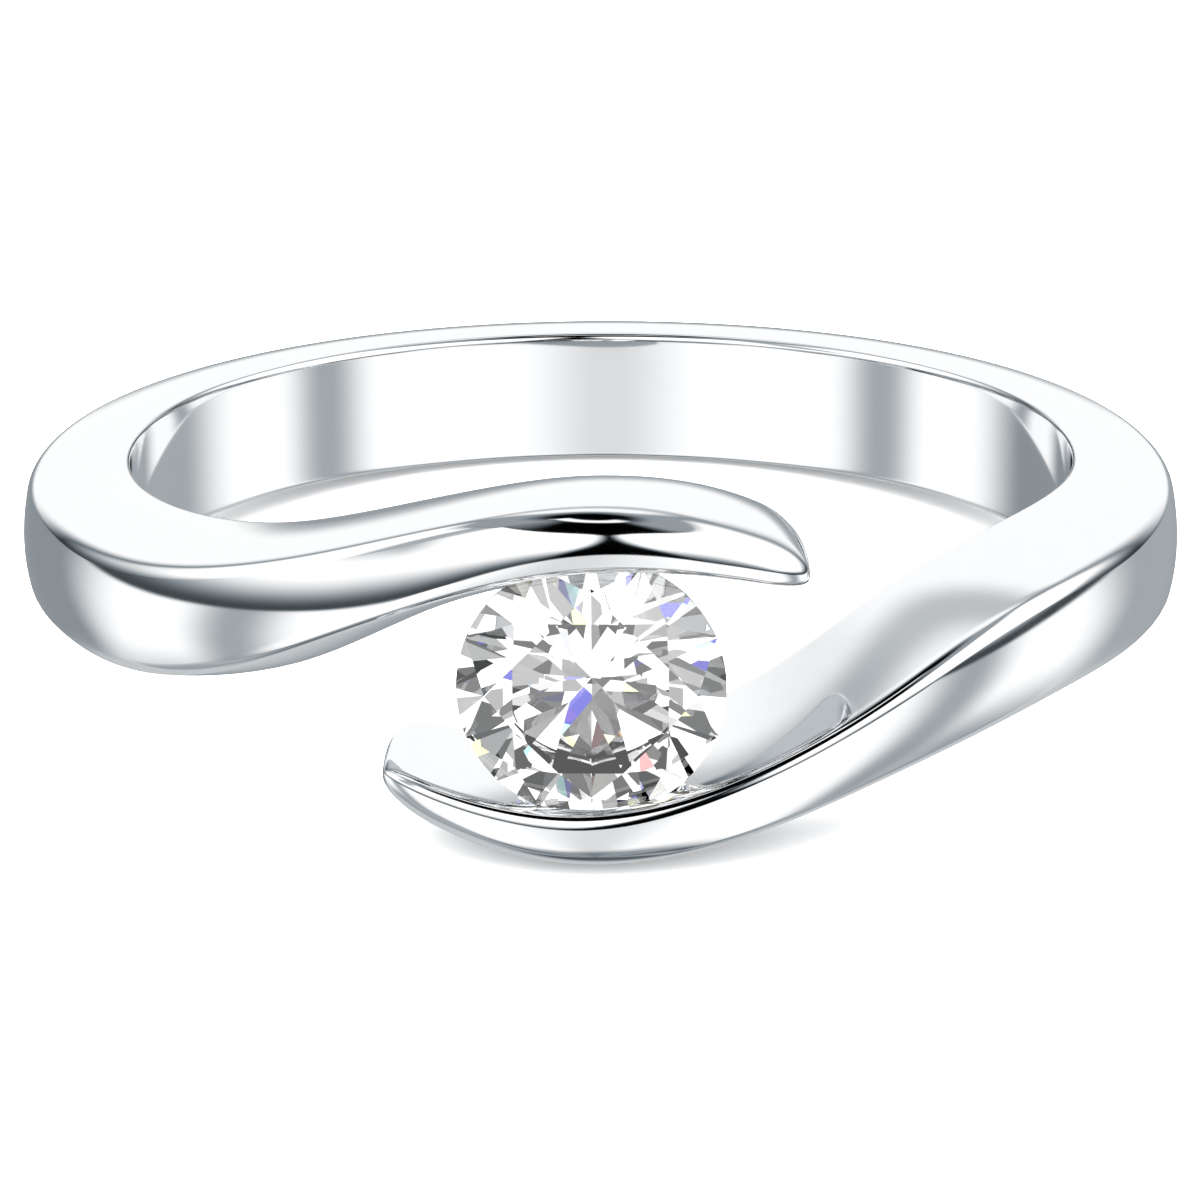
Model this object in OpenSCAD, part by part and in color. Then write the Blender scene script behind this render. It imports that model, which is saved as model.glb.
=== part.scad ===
// Bypass ring with one round stone held between its two arms.
// The band is one strip that runs a little more than once round the finger: from the back
// both ends come forward, one climbs over the stone, the other dives under it, and their
// edges hold the stone by its girdle. The ring is drawn upright, stone towards -Y, finger
// hole along Z, and then leant over the way it comes to rest when it is laid on its side.

/* [Finger] */
// Inside diameter of the band, a US size 7
inner_d = 17.35; // [16.5:0.05:18.2]

/* [Band] */
// Width of the band at the back, along the finger
back_w = 2.5; // [2.3:0.05:2.7]
// Thickness of the band at the back
back_t = 1.4; // [1.3:0.05:1.5]
// Length of the rounding along the outer ridges
ridge_round = 0.2; // [0.1:0.01:0.2]
// Length of the rounding along the rims of the finger hole
rim_round = 0.14; // [0.14:0.01:0.24]
// How far the top and the underside stand out at their middle
face_crown = 0.07; // [0:0.01:0.1]
// How far the upper arm reaches past the middle of the stone
upper_reach = 3.6; // [3.4:0.05:3.75]
// How far the lower arm reaches past it
lower_reach = 3.5; // [3.4:0.05:3.75]

/* [Stone] */
// Diameter of the stone at its girdle
stone_d = 4.45; // [4.3:0.05:4.7]
// Table width, corner to corner, as a share of the diameter
table_share = 0.62; // [0.56:0.01:0.65]
// Slope of the eight kite facets of the crown, in degrees
crown_angle = 34.5; // [33:0.5:36]
// Slope of the eight main facets of the pavilion, in degrees
pavilion_angle = 40.8; // [40.2:0.2:41.4]
// Thickness of the girdle where its facets meet
girdle_h = 0.14; // [0.13:0.01:0.18]
// Height of the culet above the surface of the finger
culet_clear = 0.12; // [0.08:0.01:0.2]
// How far the lower halves reach from the girdle towards the culet, as a share of the radius
lower_half_share = 0.77; // [0.74:0.01:0.8]
// Gap round the stone in the grooves that hold it
seat_gap = 0.03; // [0.02:0.01:0.05]

/* [Rest] */
// How far the back drops as the ring lies on its lower arm, in degrees
rest_pitch = 5.5; // [5:0.1:6.2]

/* [Hidden] */
inner_r = inner_d / 2;
tip_r = inner_r + 2; // radius at which the angles past the stone are counted
nose_length = 5; // of each arm's round nose, in degrees
nose_power = 2.6; // 2 would be an ellipse, more is blunter
nose_depth = 0.3; // the nose closes this far under the outside
nose_share = 0.4; // and at this share of its height, from the stone's side
nose_turn = 82; // how far round the nose its last section stands, of 90 degrees
nose_steps = 6;
cut_depth = 0.15; // metal left inside the finger surface, for the bore to take away
section_step = 4.5; // degrees between sections
edge_steps = 3; // round each edge of a section
flank_steps = 4; // across its top and its bottom
outside_steps = 5;
metal = [0.86, 0.87, 0.88];
clear_stone = [0.93, 0.96, 1.0];

// The stone has eight kites, eight stars and eight mains, and two halves to each above and
// below the girdle. Kites and mains point at the corners of the table, the tips of the
// stars and of the lower halves lie between them.
facets = 8;
facet_turn = 360 / facets;
arc_steps = 4; // girdle points along one half
girdle_points = 2 * facets * arc_steps;
stone_r = stone_d / 2;
table_r = stone_r * table_share;
star_r = (table_r * cos(facet_turn / 2) + stone_r) / 2;
deep_r = stone_r * (1 - lower_half_share);
crown_top = crown_z(table_r, 0);
star_z = crown_z(star_r, facet_turn / 2);
deep_z = pavilion_z(deep_r, facet_turn / 2);
culet_z = pavilion_z(0, 0);
girdle_r = inner_r + culet_clear - culet_z;

// The band's sections, from the back round to the tip of the upper arm. Lifts are heights
// above the middle of the band as shares of the stone's radius, halves are shares of half
// the back's width, thicknesses are shares of the back's thickness. inner is the finger
// side, outer the side that is seen, and bulge is how far the outer face swells, in mm.
station_columns = ["angle", "inner_lift", "inner_half", "outer_lift", "outer_half",
                   "top_thick", "bottom_thick", "bulge"];
stations = [
    [0,     0,    1.02, 0,    0.98, 1.03, 1.03, 0.08],
    [55,    0,    1.02, 0,    0.97, 1.04, 1.04, 0.08],
    [80,    0.00, 1.02, 0.01, 0.89, 1.17, 1.17, 0.09],
    [96,    0.00, 1.01, 0.02, 0.81, 1.29, 1.29, 0.12],
    [120,   0.01, 1.07, 0.04, 0.79, 1.46, 1.45, 0.19],
    [132,   0.07, 1.08, 0.08, 0.78, 1.56, 1.58, 0.17],
    [144,   0.23, 1.02, 0.26, 0.73, 1.63, 1.70, 0.15],
    [156,   0.54, 0.86, 0.61, 0.58, 1.64, 1.84, 0.10],
    [168,   0.85, 0.71, 0.98, 0.46, 1.64, 1.87, 0.09],
    [180,   1.00, 0.66, 1.17, 0.40, 1.52, 1.86, 0.21],
    [188,   0.99, 0.58, 1.12, 0.37, 1.45, 1.81, 0.21],
    [194,   0.90, 0.45, 0.99, 0.32, 1.40, 1.74, 0.19],
    [200,   0.72, 0.28, 0.80, 0.24, 1.37, 1.62, 0.15]
];

bypass_band();
round_stone();

// One column of the stations, read at any angle along a smooth curve through its rows.
function station_row(a, i = 0) =
    i >= len(stations) - 2 || a < stations[i + 1][0] ? i : station_row(a, i + 1);
function station_rise(c, i, j) = (stations[j][c] - stations[i][c]) / (stations[j][0] - stations[i][0]);
function station_slope(c, i) =
    i == 0 ? 0 : station_rise(c, i - 1, min(i + 1, len(stations) - 1));
function station_value(name, a) =
    let (c = search([name], station_columns)[0],
         i = station_row(a),
         h = stations[i + 1][0] - stations[i][0],
         t = (a - stations[i][0]) / h)
    stations[i][c] * (1 + 2 * t) * pow(1 - t, 2)
    + stations[i + 1][c] * t * t * (3 - 2 * t)
    + h * station_slope(c, i) * t * pow(1 - t, 2)
    - h * station_slope(c, i + 1) * t * t * (1 - t);

// A soft bend from p to q past the corner c.
function bend(p, c, q) =
    [for (k = [0 : edge_steps])
        let (t = k / edge_steps) p * pow(1 - t, 2) + 2 * c * t * (1 - t) + q * t * t];

// A face between the corners f[0] and f[1] that swells by f[2], d from its start or its end,
// and n - 1 points between two such places.
function face_point(f, u) =
    let (d = (f[1] - f[0]) / norm(f[1] - f[0]))
    f[0] + (f[1] - f[0]) * u + [-d[1], d[0]] * 4 * f[2] * u * (1 - u);
function face_start(f, d) = face_point(f, d / norm(f[1] - f[0]));
function face_end(f, d) = face_point(f, 1 - d / norm(f[1] - f[0]));
function face_row(f, d0, d1, n) =
    let (from = d0 / norm(f[1] - f[0]), to = 1 - d1 / norm(f[1] - f[0]))
    [for (k = [1 : n - 1]) face_point(f, from + (to - from) * k / n)];

// A section of the upper half of the strip as [radius, height] points: over the rim of the
// finger hole, along the top, down the outside and back along the bottom.
function raw_section(a) =
    let (inner_z = station_value("inner_lift", a) * stone_r,
         inner_half = station_value("inner_half", a) * back_w / 2,
         outer_z = station_value("outer_lift", a) * stone_r,
         outer_half = station_value("outer_half", a) * back_w / 2,
         inner_top = [inner_r, inner_z + inner_half],
         inner_bottom = [inner_r, inner_z - inner_half],
         outer_top = [inner_r + station_value("top_thick", a) * back_t, outer_z + outer_half],
         outer_bottom = [inner_r + station_value("bottom_thick", a) * back_t, outer_z - outer_half],
         top = [inner_top, outer_top, face_crown],
         outside = [outer_top, outer_bottom, station_value("bulge", a)],
         bottom = [outer_bottom, inner_bottom, face_crown],
         wall_top = inner_top - [cut_depth, 2 * rim_round],
         wall_bottom = inner_bottom - [cut_depth, -2 * rim_round])
    concat(bend(wall_top, inner_top, face_start(top, rim_round)),
           face_row(top, rim_round, ridge_round, flank_steps),
           bend(face_end(top, ridge_round), outer_top, face_start(outside, ridge_round)),
           face_row(outside, ridge_round, ridge_round, outside_steps),
           bend(face_end(outside, ridge_round), outer_bottom, face_start(bottom, ridge_round)),
           face_row(bottom, ridge_round, rim_round, flank_steps),
           bend(face_end(bottom, rim_round), inner_bottom, wall_bottom));

// Near the tip a section shrinks towards a place under its outer face, which makes the nose
// of the arm round.
function tip_angle(reach) = 180 + asin(reach / tip_r);
function nose_scale(a, reach) =
    let (t = max(0, a - tip_angle(reach) + nose_length) / nose_length)
    pow(1 - pow(t, nose_power), 1 / nose_power);
function section(a, reach) =
    let (points = raw_section(a),
         edge = max([for (p = points) p[0]]),
         heights = [for (p = points) if (p[0] > edge - 2 * ridge_round) p[1]],
         low = min(heights),
         centre = [edge - nose_depth, low + (max(heights) - low) * nose_share])
    [for (p = points) centre + (p - centre) * nose_scale(a, reach)];

// Up to the stone a section stands across the finger surface. Past it, sections stay
// square to the stone's width, so the arm ends straight.
function place(a, p) =
    let (past = abs(a) - 180,
         turn = past > 0 ? sign(a) * (180 + asin(tip_r * sin(past) / p[0])) : a)
    [-p[0] * sin(turn), p[0] * cos(turn), p[1]];

// The lower half of the strip is the upper half given half a turn about the stone's axis.
function reversed(list) = [for (k = [len(list) - 1 : -1 : 0]) list[k]];
function arm_angles(reach) =
    let (nose_angle = tip_angle(reach) - nose_length)
    concat([for (a = [section_step : section_step : nose_angle - 1]) a],
           [for (k = [0 : nose_steps]) nose_angle + nose_length * sin(nose_turn * k / nose_steps)]);
function upper_section(a) = [for (p = section(a, upper_reach)) place(a, p)];
function lower_section(a) = [for (p = reversed(section(a, lower_reach))) place(-a, [p[0], -p[1]])];

module strip() {
    rings = concat([for (a = reversed(arm_angles(lower_reach))) lower_section(a)],
                   [upper_section(0)],
                   [for (a = arm_angles(upper_reach)) upper_section(a)]);
    n = len(rings[0]);
    last = len(rings) - 1;
    sides = [for (i = [0 : last - 1], k = [0 : n - 1])
        let (a = i * n + k, b = i * n + (k + 1) % n, c = a + n, d = b + n)
        each [[a, d, b], [a, c, d]]];
    ends = [[for (k = [0 : n - 1]) k], [for (k = [n - 1 : -1 : 0]) last * n + k]];
    polyhedron([for (ring = rings) each ring], concat(sides, ends));
}

// The stone's corners as [x, y, z], with its axis along Z and its girdle in the middle.
// Heights are read off the kite or main whose middle line lies off degrees away.
function crown_z(r, off) = girdle_h / 2 + (stone_r - r * cos(off)) * tan(crown_angle);
function pavilion_z(r, off) = -girdle_h / 2 - (stone_r - r * cos(off)) * tan(pavilion_angle);
function polar(r, a, z) = [r * cos(a), r * sin(a), z];
function star_tip(a) = polar(star_r, a, star_z);
function deep_tip(a) = polar(deep_r, a, deep_z);
function nearest_tip(a) = round(a / facet_turn) * facet_turn;

// A girdle point lies where its half, a flat facet through its tip and two corners of the
// girdle at the height z, meets the round outline.
function girdle_point(a, tip, z) =
    let (half = facet_turn / 2,
         start = floor(a / half) * half,
         p = polar(stone_r, start, z),
         n = cross(polar(stone_r, start + half, z) - p, tip - p),
         v = polar(stone_r, a, z))
    v - [0, 0, (n * (v - p)) / n[2]];

function table_i(k) = (k + facets) % facets;
function star_i(k) = facets + table_i(k);
function upper_i(k) = 2 * facets + (k + girdle_points) % girdle_points;
function lower_i(k) = upper_i(k) + girdle_points;
function deep_i(k) = star_i(k) + facets + 2 * girdle_points;
culet_i = deep_i(facets - 1) + 1;

module brilliant() {
    ks = [0 : facets - 1];
    per = 2 * arc_steps;
    angles = [for (k = [0 : girdle_points - 1]) k * 360 / girdle_points];
    corners = concat(
        [for (k = ks) polar(table_r, (k + 0.5) * facet_turn, crown_top)],
        [for (k = ks) star_tip(k * facet_turn)],
        [for (a = angles) girdle_point(a, star_tip(nearest_tip(a)), girdle_h / 2)],
        [for (a = angles) girdle_point(a, deep_tip(nearest_tip(a)), -girdle_h / 2)],
        [for (k = ks) deep_tip(k * facet_turn)],
        [[0, 0, culet_z]]);
    table = [[for (k = [facets - 1 : -1 : 0]) table_i(k)]];
    stars = [for (k = ks) [table_i(k - 1), table_i(k), star_i(k)]];
    kites = [for (k = ks) [table_i(k), star_i(k + 1), upper_i(k * per + arc_steps), star_i(k)]];
    upper_halves = [for (k = ks, j = [-arc_steps : arc_steps - 1])
        [star_i(k), upper_i(k * per + j + 1), upper_i(k * per + j)]];
    girdle = [for (k = [0 : girdle_points - 1]) [upper_i(k), upper_i(k + 1), lower_i(k + 1), lower_i(k)]];
    lower_halves = [for (k = ks, j = [-arc_steps : arc_steps - 1])
        [deep_i(k), lower_i(k * per + j), lower_i(k * per + j + 1)]];
    mains = [for (k = ks) [culet_i, deep_i(k), lower_i(k * per + arc_steps), deep_i(k + 1)]];
    polyhedron(corners, concat(table, stars, kites, upper_halves, girdle, lower_halves, mains));
}

// The room the stone needs: its outline along the tips, grown by the gap, turned round.
module seat() {
    crown_slope = atan((star_z - girdle_h / 2) / (stone_r - star_r));
    pavilion_slope = atan((-girdle_h / 2 - deep_z) / (stone_r - deep_r));
    crown_gap = seat_gap / cos(crown_slope);
    pavilion_gap = seat_gap / cos(pavilion_slope);
    rotate_extrude($fn = 128)
        polygon([
            [0, crown_top + seat_gap],
            [table_r, crown_top + seat_gap],
            [star_r, star_z + crown_gap],
            [stone_r + seat_gap, girdle_h / 2 + crown_gap - seat_gap * tan(crown_slope)],
            [stone_r + seat_gap, -girdle_h / 2 - pavilion_gap + seat_gap * tan(pavilion_slope)],
            [deep_r, deep_z - pavilion_gap],
            [0, culet_z - pavilion_gap]
        ]);
}

module at_stone() {
    translate([0, -girdle_r, 0]) rotate([90, 0, 0]) children();
}

module as_rested() {
    rotate([-rest_pitch, 0, 0]) children();
}

module bypass_band() {
    color(metal) as_rested() difference() {
        strip();
        cylinder(h = 4 * stone_d, r = inner_r, center = true, $fn = 180);
        at_stone() seat();
    }
}

module round_stone() {
    color(clear_stone) as_rested() at_stone() brilliant();
}
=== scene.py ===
import math

import bmesh
import bpy
import numpy as np
from mathutils import Matrix, Quaternion, Vector


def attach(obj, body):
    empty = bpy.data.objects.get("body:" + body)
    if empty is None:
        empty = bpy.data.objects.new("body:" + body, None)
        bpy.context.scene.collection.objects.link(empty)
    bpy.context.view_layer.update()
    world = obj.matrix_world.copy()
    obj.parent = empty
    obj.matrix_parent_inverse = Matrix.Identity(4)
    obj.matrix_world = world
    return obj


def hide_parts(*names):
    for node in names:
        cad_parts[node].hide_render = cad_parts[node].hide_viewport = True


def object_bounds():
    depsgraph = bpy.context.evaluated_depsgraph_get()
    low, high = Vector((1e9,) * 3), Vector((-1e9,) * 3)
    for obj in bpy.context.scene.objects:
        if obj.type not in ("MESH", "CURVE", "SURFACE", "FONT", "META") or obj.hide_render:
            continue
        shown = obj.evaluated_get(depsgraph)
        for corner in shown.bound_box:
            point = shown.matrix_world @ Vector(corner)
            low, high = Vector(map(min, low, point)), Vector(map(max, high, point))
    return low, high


# A bypass ring with one round stone, lying on its side. Both pieces are drawn upright in
# millimetres, finger hole along Z and stone towards -Y, and put on the table by asRested.
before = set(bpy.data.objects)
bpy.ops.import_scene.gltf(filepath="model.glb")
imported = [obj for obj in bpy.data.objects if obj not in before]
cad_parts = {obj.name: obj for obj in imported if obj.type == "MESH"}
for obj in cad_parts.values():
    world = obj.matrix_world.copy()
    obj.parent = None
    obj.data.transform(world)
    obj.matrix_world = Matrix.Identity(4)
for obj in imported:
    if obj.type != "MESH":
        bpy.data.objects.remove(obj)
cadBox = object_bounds()

restPitch = math.radians(5.5)  # the back drops this far as the ring lies on its lower arm
asRested = Matrix.Scale(0.001, 4) @ Matrix.Rotation(-restPitch, 4, "X")

stoneDesign = {
    "diameter": 4.45,
    "facets": 8,               # kites, and as many stars and mains
    "tableShare": 0.62,        # of the diameter, corner to corner
    "crownAngle": 34.5,
    "pavilionAngle": 40.8,
    "girdleHeight": 0.14,
    "lowerHalfShare": 0.77,    # how far the lower halves run from the girdle to the culet
    "arcSteps": 6,             # girdle points along one half
    "culetClear": 0.12,        # culet above the finger's surface
    "mergeWithin": 0.0005,
}

bandDesign = {
    "innerRadius": 8.675,
    "backWidth": 2.5,
    "backThickness": 1.4,
    "faceCrown": 0.07,         # how far the top and the underside stand out at their middle
    "ridgeRound": 0.2,
    "rimRound": 0.14,
    "upperReach": 3.6,         # how far each arm passes the middle of the stone
    "lowerReach": 3.5,
    "tipRadius": 10.675,       # where angles past the stone are counted
    "noseTurn": 5,             # degrees of the arm taken up by its round nose
    "noseBluntness": 2.6,
    "noseDepth": 0.3,          # the nose closes this far under the outside
    "noseShare": 0.4,          # and at this share of its height, from the stone's side
    "noseEnd": 0.02,           # its last section's size
    "noseSections": 26,
    "sectionStep": 0.75,       # degrees
    "cornerSteps": 8,
    "faceSteps": (10, 18, 10, 6),    # across the top, the outside, the underside and the wall
    "seatGap": 0.03,
    "seatSteps": 160,          # round the seat's cutter
    "seatMerge": 0.00001,
    "creaseAngle": 35,
}

# From the back round to the tip of the upper arm. Lifts are shares of the stone's radius,
# halves of half the back's width, thicknesses of the back's thickness, bulge is in mm.
stationColumns = ("angle", "innerLift", "innerHalf", "outerLift", "outerHalf",
                  "topThick", "bottomThick", "bulge")
stations = np.array([
    (0,   0,    1.02, 0,    0.98, 1.03, 1.03, 0.08),
    (55,  0,    1.02, 0,    0.97, 1.04, 1.04, 0.08),
    (80,  0.00, 1.02, 0.01, 0.89, 1.17, 1.17, 0.09),
    (96,  0.00, 1.01, 0.02, 0.81, 1.29, 1.29, 0.12),
    (120, 0.01, 1.07, 0.04, 0.79, 1.46, 1.45, 0.19),
    (132, 0.07, 1.08, 0.08, 0.78, 1.56, 1.58, 0.17),
    (144, 0.23, 1.02, 0.26, 0.73, 1.63, 1.70, 0.15),
    (156, 0.54, 0.86, 0.61, 0.58, 1.64, 1.84, 0.10),
    (168, 0.85, 0.71, 0.98, 0.46, 1.64, 1.87, 0.09),
    (180, 1.00, 0.66, 1.17, 0.40, 1.52, 1.86, 0.21),
    (188, 0.99, 0.58, 1.12, 0.37, 1.45, 1.81, 0.21),
    (194, 0.90, 0.45, 0.99, 0.32, 1.40, 1.74, 0.19),
    (200, 0.72, 0.28, 0.80, 0.24, 1.37, 1.62, 0.15),
])


# --- small helpers for node trees

def addNode(tree, kind, **settings):
    node = tree.nodes.new(kind)
    for name, value in settings.items():
        setattr(node, name, value)
    return node


def plug(tree, value, socket):
    # a socket is linked, anything else is typed in
    if isinstance(value, bpy.types.NodeSocket):
        tree.links.new(value, socket)
    else:
        socket.default_value = value


def calc(tree, operation, a, b=None):
    node = addNode(tree, "ShaderNodeMath", operation=operation)
    plug(tree, a, node.inputs[0])
    if b is not None:
        plug(tree, b, node.inputs[1])
    return node.outputs[0]


# --- sizes of the stone that the band needs too

stoneRadius = stoneDesign["diameter"] / 2
facetTurn = 2 * math.pi / stoneDesign["facets"]
crownSlope = math.tan(math.radians(stoneDesign["crownAngle"]))
pavilionSlope = math.tan(math.radians(stoneDesign["pavilionAngle"]))
halfGirdle = stoneDesign["girdleHeight"] / 2


def crownHeight(radius, off):
    return halfGirdle + (stoneRadius - radius * math.cos(off)) * crownSlope


def pavilionHeight(radius, off):
    return -halfGirdle - (stoneRadius - radius * math.cos(off)) * pavilionSlope


tableRadius = stoneRadius * stoneDesign["tableShare"]
starRadius = (tableRadius * math.cos(facetTurn / 2) + stoneRadius) / 2
deepRadius = stoneRadius * (1 - stoneDesign["lowerHalfShare"])
tableHeight = crownHeight(tableRadius, 0)
starHeight = crownHeight(starRadius, facetTurn / 2)
deepHeight = pavilionHeight(deepRadius, facetTurn / 2)
culetHeight = pavilionHeight(0, 0)
girdleRadius = bandDesign["innerRadius"] + stoneDesign["culetClear"] - culetHeight
atStone = Matrix.Translation((0, -girdleRadius, 0)) @ Matrix.Rotation(math.pi / 2, 4, "X")


# --- the band: one strip, swept once and a bit round the finger

def smoothCurve(x, y, at):
    # a cubic spline through the rows, level at the first
    n = len(x)
    h = np.diff(x)
    rise = np.diff(y) / h
    a = np.eye(n)
    b = np.zeros(n)
    a[0, :2] = 2 * h[0], h[0]
    b[0] = 6 * rise[0]
    for i in range(1, n - 1):
        a[i, i - 1:i + 2] = h[i - 1], 2 * (h[i - 1] + h[i]), h[i]
        b[i] = 6 * (rise[i] - rise[i - 1])
    bend = np.linalg.solve(a, b)
    i = np.clip(np.searchsorted(x, at) - 1, 0, n - 2)
    t = at - x[i]
    slope = rise[i] - h[i] * (2 * bend[i] + bend[i + 1]) / 6
    return y[i] + t * (slope + t * (bend[i] / 2 + t * (bend[i + 1] - bend[i]) / (6 * h[i])))


def stationValue(name, angle):
    column = stationColumns.index(name)
    return float(smoothCurve(stations[:, 0], stations[:, column], angle))


def bowed(p, q, bow):
    # a face from p to q that stands out by bow at its middle: its points and its heading
    out = np.array((p[1] - q[1], q[0] - p[0])) / np.linalg.norm(q - p)

    def points(share):
        t = np.atleast_1d(share)[:, None]
        return p + (q - p) * t + out * 4 * bow * t * (1 - t)

    def heading(share):
        return q - p + out * 4 * bow * (1 - 2 * share)

    return points, heading


def softCorner(p, pHeading, q, qHeading):
    # a round edge that leaves p and reaches q without a kink
    ahead = np.linalg.solve(np.column_stack((pHeading, qHeading)), q - p)[0]
    corner = p + pHeading * ahead
    t = np.linspace(0, 1, bandDesign["cornerSteps"] + 1)[:, None]
    return p * (1 - t) ** 2 + 2 * corner * t * (1 - t) + q * t ** 2


def bandSection(angle):
    # points of one section as (radius, height), from the upper rim out and round to the lower
    d = bandDesign
    inner = d["innerRadius"]
    innerLift = stationValue("innerLift", angle) * stoneRadius
    innerHalf = stationValue("innerHalf", angle) * d["backWidth"] / 2
    outerLift = stationValue("outerLift", angle) * stoneRadius
    outerHalf = stationValue("outerHalf", angle) * d["backWidth"] / 2
    topRadius = inner + stationValue("topThick", angle) * d["backThickness"]
    bottomRadius = inner + stationValue("bottomThick", angle) * d["backThickness"]
    corners = np.array((
        (inner, innerLift + innerHalf),
        (topRadius, outerLift + outerHalf),
        (bottomRadius, outerLift - outerHalf),
        (inner, innerLift - innerHalf),
    ))
    bows = (d["faceCrown"], stationValue("bulge", angle), d["faceCrown"], 0)
    rounds = (d["rimRound"], d["ridgeRound"], d["ridgeRound"], d["rimRound"])
    faces = []
    headings = []
    for k in range(4):
        p, q = corners[k], corners[(k + 1) % 4]
        points, heading = bowed(p, q, bows[k])
        span = np.linalg.norm(q - p)
        start = rounds[k] / span
        end = 1 - rounds[(k + 1) % 4] / span
        # the steps are closest beside the round edges, so shading doesn't spill over them
        ease = (1 - np.cos(np.linspace(0, math.pi, d["faceSteps"][k] + 1))) / 2
        faces.append(points(start + (end - start) * ease))
        headings.append((heading(start), heading(end)))
    rows = []
    for k in range(4):
        rows.append(softCorner(faces[k - 1][-1], headings[k - 1][1], faces[k][0], headings[k][0]))
        rows.append(faces[k][1:-1])
    return np.vstack(rows)


def halfTurned(points):
    # the same section seen from the other side of the stone, starting at the same rim
    wallSteps = bandDesign["faceSteps"][-1]
    return np.roll(points[::-1] * (1, -1), 1 - wallSteps, axis=0)


def placeSection(angle, points):
    # past the stone the sections stay square to its width, so the arm ends straight
    past = math.radians(abs(angle) - 180)
    r, z = points[:, 0], points[:, 1]
    turn = np.full(len(r), math.radians(angle))
    if past > 0:
        turn = math.copysign(1, angle) * (
            math.pi + np.arcsin(bandDesign["tipRadius"] * math.sin(past) / r))
    return np.column_stack((-r * np.sin(turn), r * np.cos(turn), z))


def armSections(reach):
    # from the back to the tip, where the sections shrink to a round nose
    d = bandDesign
    noseAngle = 180 + math.degrees(math.asin(reach / d["tipRadius"])) - d["noseTurn"]
    steps = round(noseAngle / d["sectionStep"])
    arm = [(angle, 0) for angle in np.linspace(0, noseAngle, steps + 1)[1:]]
    nose = np.sin(np.linspace(0, math.pi / 2, d["noseSections"] + 1)[1:])
    arm += [(noseAngle + d["noseTurn"] * t, t) for t in nose]
    sections = []
    for angle, t in arm:
        points = bandSection(angle)
        outermost = points[:, 0].max()
        outside = points[points[:, 0] > outermost - 2 * d["ridgeRound"], 1]
        centre = np.array((outermost - d["noseDepth"],
                           outside.min() + np.ptp(outside) * d["noseShare"]))
        size = max(1 - t ** d["noseBluntness"], 0) ** (1 / d["noseBluntness"])
        sections.append((angle, centre + (points - centre) * max(size, d["noseEnd"])))
    return sections


def buildBand():
    # the lower half is the upper one given half a turn about the stone's axis
    upper = [placeSection(angle, points) for angle, points in armSections(bandDesign["upperReach"])]
    lower = [placeSection(-angle, halfTurned(points))
             for angle, points in armSections(bandDesign["lowerReach"])]
    back = placeSection(0, bandSection(0))
    strip = lower[::-1] + [back] + upper
    n = len(back)
    mesh = bpy.data.meshes.new("bypassBand")
    build = bmesh.new()
    rows = [[build.verts.new(p) for p in ring] for ring in strip]
    for a, b in zip(rows, rows[1:]):
        for k in range(n):
            build.faces.new((a[k], b[k], b[(k + 1) % n], a[(k + 1) % n]))
    build.faces.new(rows[0])
    build.faces.new(rows[-1][::-1])
    bmesh.ops.recalc_face_normals(build, faces=build.faces)
    build.to_mesh(mesh)
    build.free()
    return mesh


def buildSeatCutter():
    # the stone's outline along its outermost tips, grown by the gap and turned round
    gap = bandDesign["seatGap"]
    crown = math.atan((starHeight - halfGirdle) / (stoneRadius - starRadius))
    pavilion = math.atan((-halfGirdle - deepHeight) / (stoneRadius - deepRadius))
    crownGap = gap / math.cos(crown)
    pavilionGap = gap / math.cos(pavilion)
    outline = (
        (0, tableHeight + gap),
        (tableRadius, tableHeight + gap),
        (starRadius, starHeight + crownGap),
        (stoneRadius + gap, halfGirdle + crownGap - gap * math.tan(crown)),
        (stoneRadius + gap, -halfGirdle - pavilionGap + gap * math.tan(pavilion)),
        (deepRadius, deepHeight - pavilionGap),
        (0, culetHeight - pavilionGap),
    )
    mesh = bpy.data.meshes.new("seatCutter")
    build = bmesh.new()
    profile = [build.verts.new((r, 0, z)) for r, z in outline]
    edges = [build.edges.new(pair) for pair in zip(profile, profile[1:])]
    bmesh.ops.spin(build, geom=profile + edges, cent=(0, 0, 0), axis=(0, 0, 1),
                   angle=2 * math.pi, steps=bandDesign["seatSteps"], use_duplicate=False)
    bmesh.ops.remove_doubles(build, verts=build.verts, dist=bandDesign["seatMerge"])
    bmesh.ops.recalc_face_normals(build, faces=build.faces)
    bmesh.ops.transform(build, matrix=atStone, verts=build.verts)
    build.to_mesh(mesh)
    build.free()
    return mesh


def addPiece(name, mesh):
    piece = bpy.data.objects.new(name, mesh)
    bpy.context.scene.collection.objects.link(piece)
    return piece


def asPlainMesh(piece, name):
    # the modifiers' result as a mesh of its own, with the modifiers gone
    bpy.context.view_layer.update()
    seen = piece.evaluated_get(bpy.context.evaluated_depsgraph_get())
    mesh = bpy.data.meshes.new_from_object(seen)
    mesh.name = name
    piece.modifiers.clear()
    piece.data = mesh
    return mesh


print("band: sweeping the strip")
band = addPiece("bypassRing", buildBand())
cutter = addPiece("seatCutter", buildSeatCutter())
seatCut = band.modifiers.new("seat", "BOOLEAN")
seatCut.operation = "DIFFERENCE"
seatCut.solver = "EXACT"
seatCut.object = cutter
bandMesh = asPlainMesh(band, "bypassBand")
bpy.data.objects.remove(cutter)
bandMesh.transform(asRested)
bandMesh.shade_smooth()
bandMesh.set_sharp_from_angle(angle=math.radians(bandDesign["creaseAngle"]))
print("band:", len(bandMesh.polygons), "faces")


# --- the stone: one eighth of the cut, repeated round the axis

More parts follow.
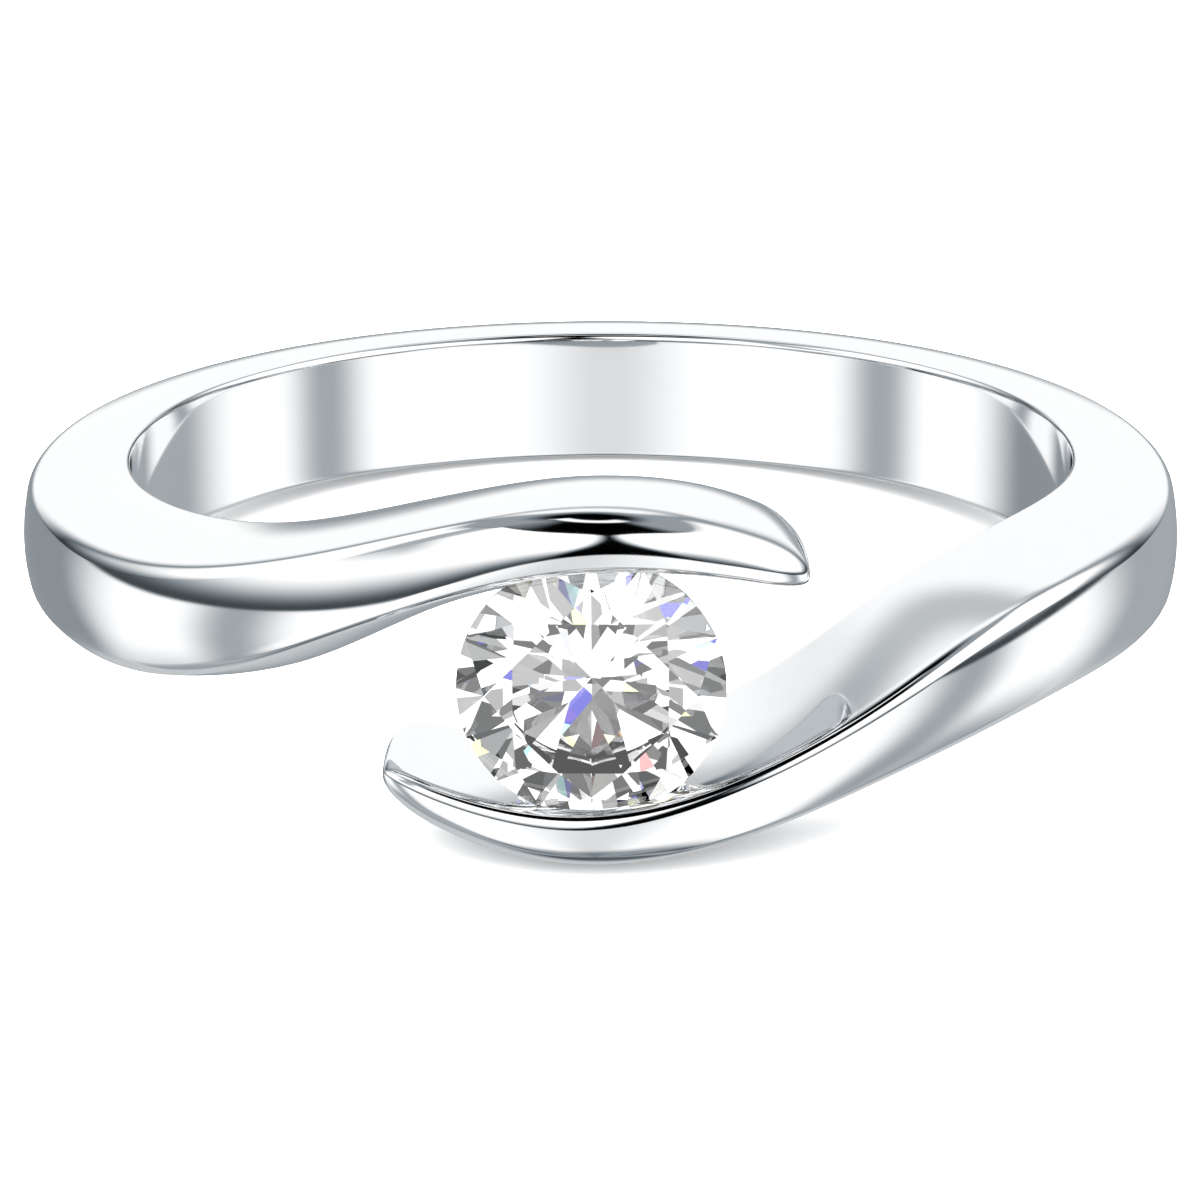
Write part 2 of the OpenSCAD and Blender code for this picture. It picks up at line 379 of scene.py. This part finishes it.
def buildStoneWedge():
    # Points carry which tier they belong to and how far round they lie, from one star's
    # tip to half a facet on either side. The tree below gives them their places.
    steps = stoneDesign["arcSteps"]
    tiers = {"centre": 0, "table": 1, "star": 2, "upper": 3, "lower": 4, "deep": 5, "culet": 6}
    mesh = bpy.data.meshes.new("stoneWedge")
    build = bmesh.new()
    tier = build.verts.layers.int.new("tier")
    turn = build.verts.layers.float.new("turn")

    def point(name, share):
        # the start places only keep the points apart
        v = build.verts.new((tiers[name], share, 0))
        v[tier] = tiers[name]
        v[turn] = share
        return v

    centre, culet = point("centre", 0), point("culet", 0)
    star, deep = point("star", 0), point("deep", 0)
    table = [point("table", s) for s in (-0.5, 0.5)]
    shares = [k / (2 * steps) for k in range(-steps, steps + 1)]
    upper = [point("upper", s) for s in shares]
    lower = [point("lower", s) for s in shares]
    build.faces.new((centre, table[0], table[1]))
    build.faces.new((table[0], star, table[1]))
    build.faces.new((table[0], upper[0], star))
    build.faces.new((star, upper[-1], table[1]))
    build.faces.new((deep, lower[0], culet))
    build.faces.new((culet, lower[-1], deep))
    for a, b, c, d in zip(upper, upper[1:], lower[1:], lower):
        build.faces.new((star, a, b))
        build.faces.new((a, d, c, b))
        build.faces.new((deep, c, d))
    build.to_mesh(mesh)
    build.free()
    return mesh


def buildStoneTree(material):
    tree = bpy.data.node_groups.new("roundBrilliant", "GeometryNodeTree")
    face = tree.interface

    def sizeInput(name, kind, default, low, high):
        s = face.new_socket(name=name, in_out="INPUT", socket_type=kind)
        s.default_value, s.min_value, s.max_value = default, low, high

    face.new_socket(name="Wedge", in_out="INPUT", socket_type="NodeSocketGeometry")
    sizeInput("Diameter", "NodeSocketFloat", 4.5, 0.5, 20)
    sizeInput("Table Share", "NodeSocketFloat", 0.6, 0.4, 0.8)
    sizeInput("Crown Angle", "NodeSocketFloat", 34.5, 20, 45)
    sizeInput("Pavilion Angle", "NodeSocketFloat", 40.8, 35, 50)
    sizeInput("Girdle Height", "NodeSocketFloat", 0.14, 0.01, 1)
    sizeInput("Lower Half Share", "NodeSocketFloat", 0.77, 0.5, 0.9)
    sizeInput("Facets", "NodeSocketInt", 8, 3, 24)
    face.new_socket(name="Geometry", in_out="OUTPUT", socket_type="NodeSocketGeometry")
    given = tree.nodes.new("NodeGroupInput").outputs
    result = tree.nodes.new("NodeGroupOutput")

    def m(operation, a, b=None):
        return calc(tree, operation, a, b)

    tier = addNode(tree, "GeometryNodeInputNamedAttribute", data_type="INT")
    tier.inputs["Name"].default_value = "tier"
    turn = addNode(tree, "GeometryNodeInputNamedAttribute", data_type="FLOAT")
    turn.inputs["Name"].default_value = "turn"

    radius = m("MULTIPLY", given["Diameter"], 0.5)
    facet = m("DIVIDE", 2 * math.pi, given["Facets"])
    halfFacet = m("MULTIPLY", facet, 0.5)
    edge = m("MULTIPLY", given["Girdle Height"], 0.5)
    crown = m("TANGENT", m("RADIANS", given["Crown Angle"]))
    pavilion = m("TANGENT", m("RADIANS", given["Pavilion Angle"]))
    cosHalf = m("COSINE", halfFacet)

    tableR = m("MULTIPLY", radius, given["Table Share"])
    starR = m("MULTIPLY", m("ADD", m("MULTIPLY", tableR, cosHalf), radius), 0.5)
    deepR = m("MULTIPLY", radius, m("SUBTRACT", 1.0, given["Lower Half Share"]))

    def onCrown(r, cosOff):
        rise = m("MULTIPLY", crown, m("SUBTRACT", radius, m("MULTIPLY", r, cosOff)))
        return m("ADD", edge, rise)

    def onPavilion(r, cosOff):
        drop = m("MULTIPLY", pavilion, m("SUBTRACT", radius, m("MULTIPLY", r, cosOff)))
        return m("SUBTRACT", m("MULTIPLY", edge, -1.0), drop)

    tableZ = onCrown(tableR, 1.0)
    starZ = onCrown(starR, cosHalf)
    deepZ = onPavilion(deepR, cosHalf)
    culetZ = onPavilion(0.0, 1.0)

    # A half is flat and the girdle is round, so the girdle's edge dips between its corners:
    # by how far the round stands out past the half's straight foot, times the half's slope.
    away = m("MULTIPLY", facet, m("ABSOLUTE", turn.outputs[0]))
    quarter = m("MULTIPLY", facet, 0.25)
    foot = m("MULTIPLY", radius, m("COSINE", quarter))
    onRound = m("MULTIPLY", radius, m("COSINE", m("SUBTRACT", away, quarter)))
    standOut = m("SUBTRACT", onRound, foot)

    def dip(tipR, tipZ, edgeZ):
        run = m("MULTIPLY", m("SUBTRACT", radius, tipR), m("COSINE", quarter))
        slope = m("DIVIDE", m("SUBTRACT", tipZ, edgeZ), run)
        return m("SUBTRACT", edgeZ, m("MULTIPLY", standOut, slope))

    upperZ = dip(starR, starZ, edge)
    lowerZ = dip(deepR, deepZ, m("MULTIPLY", edge, -1.0))

    def byTier(values):
        switch = addNode(tree, "GeometryNodeIndexSwitch", data_type="FLOAT")
        while len(switch.index_switch_items) < len(values):
            switch.index_switch_items.new()
        plug(tree, tier.outputs[0], switch.inputs["Index"])
        for socket, value in zip(switch.inputs[1:], values):
            plug(tree, value, socket)
        return switch.outputs[0]

    r = byTier((0.0, tableR, starR, radius, radius, deepR, 0.0))
    z = byTier((tableZ, tableZ, starZ, upperZ, lowerZ, deepZ, culetZ))
    angle = m("MULTIPLY", facet, turn.outputs[0])
    place = addNode(tree, "ShaderNodeCombineXYZ")
    plug(tree, m("MULTIPLY", r, m("COSINE", angle)), place.inputs[0])
    plug(tree, m("MULTIPLY", r, m("SINE", angle)), place.inputs[1])
    plug(tree, z, place.inputs[2])
    cut = addNode(tree, "GeometryNodeSetPosition")
    plug(tree, given["Wedge"], cut.inputs["Geometry"])
    plug(tree, place.outputs[0], cut.inputs["Position"])

    # the wedges stand on points without a size, each turned one facet further
    points = addNode(tree, "GeometryNodePoints")
    plug(tree, given["Facets"], points.inputs["Count"])
    index = addNode(tree, "GeometryNodeInputIndex")
    spin = addNode(tree, "ShaderNodeCombineXYZ")
    plug(tree, m("MULTIPLY", facet, index.outputs[0]), spin.inputs[2])
    repeat = addNode(tree, "GeometryNodeInstanceOnPoints")
    plug(tree, points.outputs[0], repeat.inputs["Points"])
    plug(tree, cut.outputs[0], repeat.inputs["Instance"])
    plug(tree, spin.outputs[0], repeat.inputs["Rotation"])
    real = addNode(tree, "GeometryNodeRealizeInstances")
    plug(tree, repeat.outputs[0], real.inputs[0])
    merge = addNode(tree, "GeometryNodeMergeByDistance")
    plug(tree, real.outputs[0], merge.inputs["Geometry"])
    plug(tree, stoneDesign["mergeWithin"], merge.inputs["Distance"])
    flat = addNode(tree, "GeometryNodeSetShadeSmooth")
    plug(tree, merge.outputs[0], flat.inputs["Geometry"])
    plug(tree, False, flat.inputs["Shade Smooth"])
    dressed = addNode(tree, "GeometryNodeSetMaterial")
    dressed.inputs["Material"].default_value = material
    plug(tree, flat.outputs[0], dressed.inputs["Geometry"])
    plug(tree, dressed.outputs[0], result.inputs[0])
    return tree


# --- materials

def newMaterial(name):
    material = bpy.data.materials.new(name)
    material.use_nodes = True
    return material, material.node_tree, material.node_tree.nodes["Principled BSDF"]


def newGroup(name, inputs, outputs):
    # a shader node group with its sockets, ready to be filled
    group = bpy.data.node_groups.new(name, "ShaderNodeTree")
    for label, kind, default in inputs:
        s = group.interface.new_socket(name=label, in_out="INPUT", socket_type=kind)
        s.default_value = default
    for label, kind in outputs:
        group.interface.new_socket(name=label, in_out="OUTPUT", socket_type=kind)
    given = addNode(group, "NodeGroupInput").outputs
    result = addNode(group, "NodeGroupOutput").inputs
    return group, given, result


def ranged(tree, value, between, levels):
    # a soft step from the first level to the second
    node = addNode(tree, "ShaderNodeMapRange", interpolation_type="SMOOTHSTEP")
    for socket, given in zip(node.inputs, (value, *between, *levels)):
        plug(tree, given, socket)
    return node.outputs["Result"]


def blend(tree, share, a, b):
    # between two colours
    node = addNode(tree, "ShaderNodeMix", data_type="RGBA")
    plug(tree, share, node.inputs[0])
    plug(tree, a, node.inputs[6])
    plug(tree, b, node.inputs[7])
    return node.outputs[2]


def noise(tree, place, scale, detail):
    node = addNode(tree, "ShaderNodeTexNoise")
    plug(tree, place, node.inputs["Vector"])
    plug(tree, scale, node.inputs["Scale"])
    plug(tree, detail, node.inputs["Detail"])
    return node.outputs[0]


metalDesign = {
    "clean": (0.93, 0.94, 0.95, 1),
    "cloudy": (0.915, 0.926, 0.94, 1),
    "smoothest": 0.055,
    "dullest": 0.09,
    "swirls": 2600,            # a metre
    "swirlDetail": 5,
    "swirlsWorn": (0.3, 0.75),     # the noise's values where wear begins and is full
    "cloudShare": 0.12,        # of the swirls' scale
    "cloudDetail": 2,
    "cloudsWorn": (0.35, 0.7),
}


def buildPolishGroup():
    # Hand polish: a cloudiness a few millimetres wide and fine swirls within it. Scale is
    # in swirls a metre.
    d = metalDesign
    group, given, result = newGroup(
        "handPolish",
        (("Place", "NodeSocketVector", (0, 0, 0)),
         ("Scale", "NodeSocketFloat", d["swirls"]),
         ("Smoothest", "NodeSocketFloat", d["smoothest"]),
         ("Dullest", "NodeSocketFloat", d["dullest"]),
         ("Clean", "NodeSocketColor", d["clean"]),
         ("Cloudy", "NodeSocketColor", d["cloudy"])),
        (("Color", "NodeSocketColor"), ("Roughness", "NodeSocketFloat")))
    cloudScale = calc(group, "MULTIPLY", given["Scale"], d["cloudShare"])
    clouds = noise(group, given["Place"], cloudScale, d["cloudDetail"])
    swirls = noise(group, given["Place"], given["Scale"], d["swirlDetail"])
    clouds = ranged(group, clouds, d["cloudsWorn"], (0, 1))
    swirls = ranged(group, swirls, d["swirlsWorn"], (0, 1))
    worn = calc(group, "MULTIPLY", clouds, swirls)
    spread = calc(group, "SUBTRACT", given["Dullest"], given["Smoothest"])
    rougher = calc(group, "MULTIPLY", worn, spread)
    plug(group, calc(group, "ADD", given["Smoothest"], rougher), result["Roughness"])
    plug(group, blend(group, worn, given["Clean"], given["Cloudy"]), result["Color"])
    return group


polishedMetal, tree, shader = newMaterial("polishedRhodium")
shader.inputs["Metallic"].default_value = 1
onObject = addNode(tree, "ShaderNodeTexCoord").outputs["Object"]
polish = addNode(tree, "ShaderNodeGroup", node_tree=buildPolishGroup())
plug(tree, onObject, polish.inputs["Place"])
plug(tree, polish.outputs["Color"], shader.inputs["Base Color"])
plug(tree, polish.outputs["Roughness"], shader.inputs["Roughness"])
bandMesh.materials.clear()
bandMesh.materials.append(polishedMetal)

zirconiaDesign = {
    "Base Color": (1, 1, 1, 1),
    "Roughness": 0,
    "IOR": 2.17,
    "Transmission Weight": 1,
}
clearStone, tree, shader = newMaterial("clearZirconia")
for label, value in zirconiaDesign.items():
    shader.inputs[label].default_value = value

print("stone: cutting the facets")
stone = addPiece("roundStone", buildStoneWedge())
cutting = stone.modifiers.new("roundBrilliant", "NODES")
cutting.node_group = buildStoneTree(clearStone)
sizes = {
    "Diameter": stoneDesign["diameter"],
    "Table Share": stoneDesign["tableShare"],
    "Crown Angle": stoneDesign["crownAngle"],
    "Pavilion Angle": stoneDesign["pavilionAngle"],
    "Girdle Height": stoneDesign["girdleHeight"],
    "Lower Half Share": stoneDesign["lowerHalfShare"],
    "Facets": stoneDesign["facets"],
}
for item in cutting.node_group.interface.items_tree:
    if item.name in sizes:
        cutting[item.identifier] = sizes[item.name]
stoneMesh = asPlainMesh(stone, "roundStone")
stoneMesh.transform(asRested @ atStone)
print("stone:", len(stoneMesh.polygons), "faces")

for piece, node, slot in ((band, "bypass_band", "band_metal"), (stone, "round_stone", "stone")):
    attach(piece, "root")
    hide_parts(node)


# --- floor

floorDesign = {
    "half": 1,                 # metres
    "colour": (0.9, 0.9, 0.9, 1),
    "roughness": 0.9,
}
half = floorDesign["half"]
lowest = cadBox[0][2]
floorCorners = ((-half, -half), (half, -half), (half, half), (-half, half))
floorMesh = bpy.data.meshes.new("floor")
floorMesh.from_pydata([(x, y, lowest) for x, y in floorCorners], [], [(0, 1, 2, 3)])
floor = addPiece("floor", floorMesh)
paleFloor, tree, shader = newMaterial("paleFloor")
shader.inputs["Base Color"].default_value = floorDesign["colour"]
shader.inputs["Roughness"].default_value = floorDesign["roughness"]
floorMesh.materials.append(paleFloor)

# What the metal mirrors instead of the floor is the lower half of the studio's tent.
floor.visible_glossy = False

# The stone is seen through from below as well, so its light comes from the same tent.
floor.visible_transmission = False


# --- the studio: walls and a strip above the horizon, a white tent below it

def buildShadeGroup():
    # light as the studio throws it back: the darker, the cooler
    plainFrom = 0.9
    group, given, result = newGroup(
        "coolShade",
        (("Light", "NodeSocketFloat", 1), ("Tint", "NodeSocketColor", (0.84, 0.97, 1.06, 1))),
        (("Color", "NodeSocketColor"),))
    share = ranged(group, given["Light"], (0, plainFrom), (0, 1))
    scaled = addNode(group, "ShaderNodeVectorMath", operation="SCALE")
    plug(group, blend(group, share, given["Tint"], (1, 1, 1, 1)), scaled.inputs[0])
    plug(group, given["Light"], scaled.inputs["Scale"])
    plug(group, scaled.outputs[0], result["Color"])
    return group


print("studio: hanging the walls and the tent")
world = bpy.data.worlds.new("studio")
bpy.context.scene.world = world
world.use_nodes = True
tree = world.node_tree


def ramp(value, between, levels):
    return ranged(tree, value, between, levels)


def plus(a, b):
    return calc(tree, "ADD", a, b)


def minus(a, b):
    return calc(tree, "SUBTRACT", a, b)


def times(a, b):
    return calc(tree, "MULTIPLY", a, b)


def larger(a, b):
    return calc(tree, "MAXIMUM", a, b)


def away(value, middle):
    return calc(tree, "ABSOLUTE", minus(value, middle))


def around(middle, below, above):
    return middle - below, middle + above


def mixed(share, a, b):
    node = addNode(tree, "ShaderNodeMix", data_type="FLOAT")
    plug(tree, share, node.inputs[0])
    plug(tree, a, node.inputs[2])
    plug(tree, b, node.inputs[3])
    return node.outputs[0]


def widening(value, begin, end, most):
    # nothing at begin, growing with the square to most at end
    share = calc(tree, "DIVIDE", minus(value, begin), end - begin)
    share = larger(share, 0.0)
    return times(times(share, share), most)


# Directions are in degrees, to the right of the camera's side and above the horizon. A pair
# is where a soft step begins and ends.
direction = addNode(tree, "ShaderNodeTexCoord").outputs["Generated"]
split = addNode(tree, "ShaderNodeSeparateXYZ")
plug(tree, direction, split.inputs[0])
x, y, z = split.outputs
azimuth = calc(tree, "DEGREES", calc(tree, "ARCTAN2", x, times(y, -1.0)))
elevation = calc(tree, "DEGREES", calc(tree, "ARCSINE", z))
sideways = calc(tree, "ABSOLUTE", azimuth)

# two side walls with a narrow dark gap between them, ahead of the stone
wallDesign = {
    "light": 1.25,
    "gapAt": 8,
    "gapWaist": 2,             # half its width at the waist
    "waistHeight": 42,
    "gapFoot": 16,             # how much wider it is at the horizon
    "gapHead": 60,             # and at the walls' upper edge
    "gapEdge": (-2, 6),
    "top": 57,
    "topEdge": (3, 6),         # below and above the top
    "topLight": 0.25,
    "leftFade": 19,            # the walls darken from this height down to the horizon
    "rightFade": 7,
    "fadeSwap": (40, 65),
    "endFade": 20,             # more of it at the walls' ends
    "endFadeSwap": (95, 125),
    "fade": (-0.1, 1),         # of those heights
    "horizonLight": 0.05,
    "foldAt": -59,             # a soft fold in the left wall
    "foldEdge": (4, 16),
    "foldFoot": (18, 30),
    "foldLight": 0.36,
    "end": 128,
    "endEdge": 8,
    "endLight": 0.27,
}
d = wallDesign
gapHalf = plus(widening(elevation, d["waistHeight"], 0, d["gapFoot"]),
               widening(elevation, d["waistHeight"], d["top"], d["gapHead"]))
gapHalf = plus(gapHalf, d["gapWaist"])
walls = ramp(minus(away(azimuth, d["gapAt"]), gapHalf), d["gapEdge"], (0, d["light"]))
walls = times(walls, ramp(elevation, around(d["top"], *d["topEdge"]), (1, d["topLight"])))
fade = plus(ramp(azimuth, d["fadeSwap"], (d["leftFade"], d["rightFade"])),
            ramp(sideways, d["endFadeSwap"], (0, d["endFade"])))
walls = times(walls, ramp(calc(tree, "DIVIDE", elevation, fade), d["fade"], (d["horizonLight"], 1)))
fold = times(ramp(away(azimuth, d["foldAt"]), d["foldEdge"], (1 - d["foldLight"], 0)),
             ramp(elevation, d["foldFoot"], (0, 1)))
walls = times(walls, minus(1.0, fold))
endBand = around(d["end"], d["endEdge"], d["endEdge"])
walls = times(walls, ramp(sideways, endBand, (1, d["endLight"])))

# the wall behind, light with a grey seam
backDesign = {
    "light": 1.04,
    "side": (126, 158),
    "top": (64, 76),
    "foot": (-3, 4),
    "footLight": 0.45,
    "seamAt": 50,
    "seamEdge": (1, 9),
    "seamLight": 0.54,
}
d = backDesign
backWall = ramp(sideways, d["side"], (0, d["light"]))
backWall = times(backWall, ramp(elevation, d["top"], (1, 0)))
backWall = times(backWall, ramp(elevation, d["foot"], (d["footLight"], 1)))
backWall = times(backWall, ramp(away(elevation, d["seamAt"]), d["seamEdge"], (d["seamLight"], 1)))

# overhead: grey at the sides, and a narrow strip
overheadDesign = {
    "middle": 5,
    "greyEdge": (35, 60),      # to either side of the middle
    "greyFoot": (52, 60),
    "greyTop": (70, 80),
    "greyLight": 0.35,
    "stripAt": 79.5,
    "stripEdge": (1.5, 4),
    "stripEnds": (50, 80),
    "stripLight": 1.1,
}
d = overheadDesign
sides = ramp(away(azimuth, d["middle"]), d["greyEdge"], (0, d["greyLight"]))
sides = times(sides, times(ramp(elevation, d["greyFoot"], (0, 1)),
                           ramp(elevation, d["greyTop"], (1, 0))))
strip = times(ramp(away(elevation, d["stripAt"]), d["stripEdge"], (d["stripLight"], 0)),
              ramp(sideways, d["stripEnds"], (1, 0)))
above = larger(larger(walls, backWall), larger(sides, strip))

# the tent below the horizon: white with two soft seams, grey behind
tentDesign = {
    "light": 1.1,
    "top": -3.3,
    "topEdge": (1.2, 0.8),     # below and above the top
    "seamAt": 74,
    "seamEdge": (1, 16),
    "seamLight": 0.42,
    "grey": (104, 130),
    "greyLeft": 0.3,
    "greyRight": 0.42,
    "greySwap": (-60, 60),
    "greyMeets": (145, 178),   # left and right come together here, straight behind
    "foldAt": -1,              # a faint fold straight ahead
    "foldEdge": (2, 24),
    "foldLight": 0.7,
    "bottom": (-76, -60),
    "bottomLight": 0.3,
    "lowSide": (-44, -24),     # beside the ring it is dark from higher up
    "lowSideLight": 0.35,
    "besideFrom": (70, 92),
    "besideTo": (108, 120),
    "cornerTop": (-40, -28),   # and lighter again in the far corners
    "cornerFoot": (-80, -62),
    "cornerFrom": (112, 122),
    "cornerLight": 0.6,
}
d = tentDesign
tent = ramp(away(sideways, d["seamAt"]), d["seamEdge"], (d["seamLight"], d["light"]))
grey = ramp(azimuth, d["greySwap"], (d["greyLeft"], d["greyRight"]))
greyBehind = (d["greyLeft"] + d["greyRight"]) / 2
grey = mixed(ramp(sideways, d["greyMeets"], (0, 1)), grey, greyBehind)
tent = mixed(ramp(sideways, d["grey"], (0, 1)), tent, grey)
tent = times(tent, ramp(away(azimuth, d["foldAt"]), d["foldEdge"], (d["foldLight"], 1)))
bottom = ramp(elevation, d["bottom"], (d["bottomLight"], 1))
lowSide = ramp(elevation, d["lowSide"], (d["lowSideLight"], 1))
beside = times(ramp(sideways, d["besideFrom"], (0, 1)), ramp(sideways, d["besideTo"], (1, 0)))
tent = times(tent, mixed(beside, bottom, lowSide))
corner = times(ramp(elevation, d["cornerTop"], (1, 0)), ramp(elevation, d["cornerFoot"], (0, 1)))
corner = times(corner, ramp(sideways, d["cornerFrom"], (0, 1)))
tent = mixed(corner, tent, d["cornerLight"])
glow = mixed(ramp(elevation, around(d["top"], *d["topEdge"]), (0, 1)), tent, above)

# The stone looks out at cells of light. The first shares of all cells have the first
# lights, the others the last. Red and blue look a little to either side.
sparkleDesign = {
    "cells": 2.8,
    "shares": (0.1, 0.14, 0.2),        # black, dark and grey, the others are white
    "lights": (0.012, 0.16, 0.5, 1.35),
    "rimAt": 0.6,                      # each cell is brightest at its rim
    "middleAndRim": (0.6, 1.25),       # so no facet is quite flat
    "spread": (0.012, 0.006, 0.01),
    "sides": (-0.35, 0, 1),            # how far along the spread red, green and blue look
    "fire": 0.5,                       # how much of the colours' parting shows
    "seed": (2.9, 8.8, 4.4),
}
d = sparkleDesign
channels = []
for side in d["sides"]:
    turned = addNode(tree, "ShaderNodeVectorMath", operation="ADD")
    plug(tree, direction, turned.inputs[0])
    turned.inputs[1].default_value = [a + side * b for a, b in zip(d["seed"], d["spread"])]
    cells = addNode(tree, "ShaderNodeTexVoronoi")
    plug(tree, turned.outputs[0], cells.inputs["Vector"])
    plug(tree, d["cells"], cells.inputs["Scale"])
    chance = addNode(tree, "ShaderNodeSeparateColor")
    plug(tree, cells.outputs["Color"], chance.inputs[0])
    steps = addNode(tree, "ShaderNodeValToRGB")
    steps.color_ramp.interpolation = "CONSTANT"
    starts = (0, *np.cumsum(d["shares"]))
    while len(steps.color_ramp.elements) < len(starts):
        steps.color_ramp.elements.new(0.5)
    for element, start, level in zip(steps.color_ramp.elements, starts, d["lights"]):
        element.position = start
        element.color = (level, level, level, 1)
    plug(tree, chance.outputs[0], steps.inputs["Fac"])
    uneven = ramp(cells.outputs["Distance"], (0, d["rimAt"]), d["middleAndRim"])
    channels.append(times(steps.outputs["Color"], uneven))
sparkle = addNode(tree, "ShaderNodeCombineColor")
for socket, value in zip(sparkle.inputs, channels):
    plug(tree, mixed(d["fire"], channels[1], value), socket)

# what isn't polished sees an even white dome
domeLight = 5.0
path = addNode(tree, "ShaderNodeLightPath").outputs
shade = addNode(tree, "ShaderNodeGroup", node_tree=buildShadeGroup())
plug(tree, mixed(path["Is Diffuse Ray"], glow, domeLight), shade.inputs["Light"])
seen = blend(tree, path["Is Transmission Ray"], shade.outputs["Color"], sparkle.outputs[0])
plug(tree, seen, tree.nodes["Background"].inputs["Color"])
plug(tree, 1.0, tree.nodes["Background"].inputs["Strength"])


# --- camera

cameraDesign = {
    "place": (0.00138, -0.08374, 0.03230),
    "axis": (-0.0156, 0.9261, -0.3770),
    "roll": -0.26,
    "lens": 145.1,
    "sensor": 36,
    "clip": (0.005, 10),
}
cameraData = bpy.data.cameras.new("camera")
cameraData.sensor_width = cameraDesign["sensor"]
cameraData.lens = cameraDesign["lens"]
cameraData.clip_start, cameraData.clip_end = cameraDesign["clip"]
camera = bpy.data.objects.new("camera", cameraData)
bpy.context.scene.collection.objects.link(camera)
camera.location = cameraDesign["place"]
aim = Vector(cameraDesign["axis"]).to_track_quat("-Z", "Y")
aim = aim @ Quaternion((0, 0, 1), math.radians(cameraDesign["roll"]))
camera.rotation_euler = aim.to_euler()
bpy.context.scene.camera = camera
bpy.context.scene.view_settings.view_transform = "Standard"
print("camera: set")
